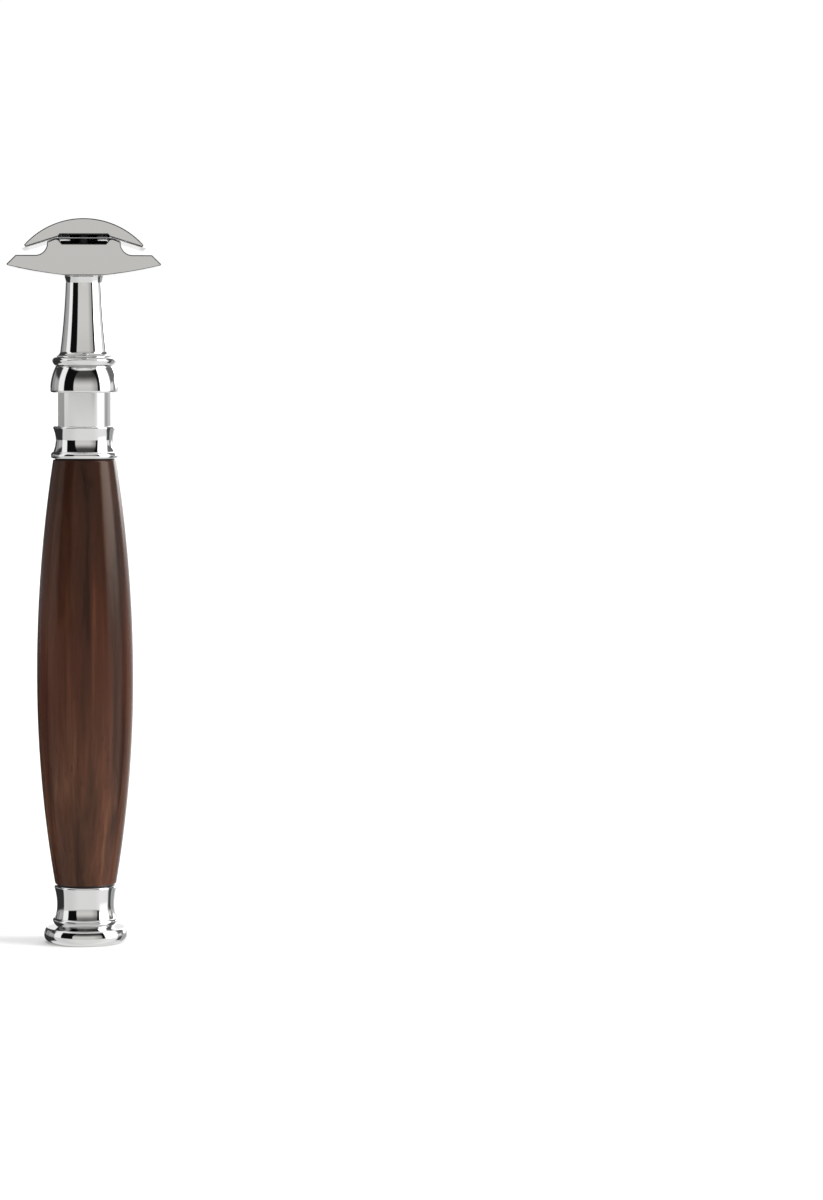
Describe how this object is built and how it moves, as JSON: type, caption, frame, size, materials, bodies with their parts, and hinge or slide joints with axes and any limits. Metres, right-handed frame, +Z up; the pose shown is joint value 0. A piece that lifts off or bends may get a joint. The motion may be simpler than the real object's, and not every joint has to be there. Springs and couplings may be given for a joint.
{
  "type": "safety razor",
  "caption": "Double-edge safety razor with a crescent cap, clamped blade, scalloped guards, tapered chrome neck and barrel-shaped lacquered wood grip on a flanged foot.",
  "frame": {"origin": "centre of the flat underside of the foot, on the handle's axis", "axes": "+Z up the handle towards the head; Y along the blade; the two shaving edges face +X and -X"},
  "size_m": [0.0266, 0.0428, 0.1288],
  "materials": {
    "chrome": "mirror-polished plating",
    "cap_steel": "satin-plated, screw-cut",
    "fastener_steel": "zinc-plated",
    "blade_steel": "rolled sheet with polished ground edges",
    "dark_wood": "dark reddish-brown hardwood under clear gloss lacquer",
    "brass_tube": "drawn tube",
    "seal_rubber": "matt"
  },
  "bodies": {
    "handle": {"foot_knob": "chrome", "foot_bead": "chrome", "end_ferrule": "chrome", "lock_nut": "fastener_steel", "spring_washer": "fastener_steel", "tie_rod": "fastener_steel", "lower_seal": "seal_rubber", "wood_grip": "dark_wood", "grip_liner": "brass_tube", "upper_seal": "seal_rubber", "grip_ring": "chrome", "neck_spool": "chrome", "hanger_sleeve": "chrome", "neck_bell": "chrome", "neck_bead": "chrome", "neck_column": "chrome"},
    "base_plate": {"base_plate": "chrome"},
    "blade": {"razor_blade": "blade_steel"},
    "cap": {"cap_plate": "chrome", "cap_stud": "cap_steel", "cap_posts": "cap_steel"}
  },
  "joints": [
    {"name": "head_turn", "type": "hinge", "parent": "handle", "child": "base_plate", "pos_m": [0, 0, 0.11895], "axis": [0, 0, 1], "range_deg": [0, 2160]},
    {"name": "cap_rise", "type": "slide", "parent": "base_plate", "child": "cap", "axis": [0, 0, 1], "range_m": [0, 0.0048]},
    {"name": "blade_rise", "type": "slide", "parent": "base_plate", "child": "blade", "axis": [0, 0, 1], "range_m": [0, 0.0024]}
  ],
  "couplings": [
    {"joint": "cap_rise", "follows": "head_turn", "m_per_rad": 0.00012732},
    {"joint": "blade_rise", "follows": "head_turn", "m_per_rad": 0.000063662}
  ]
}
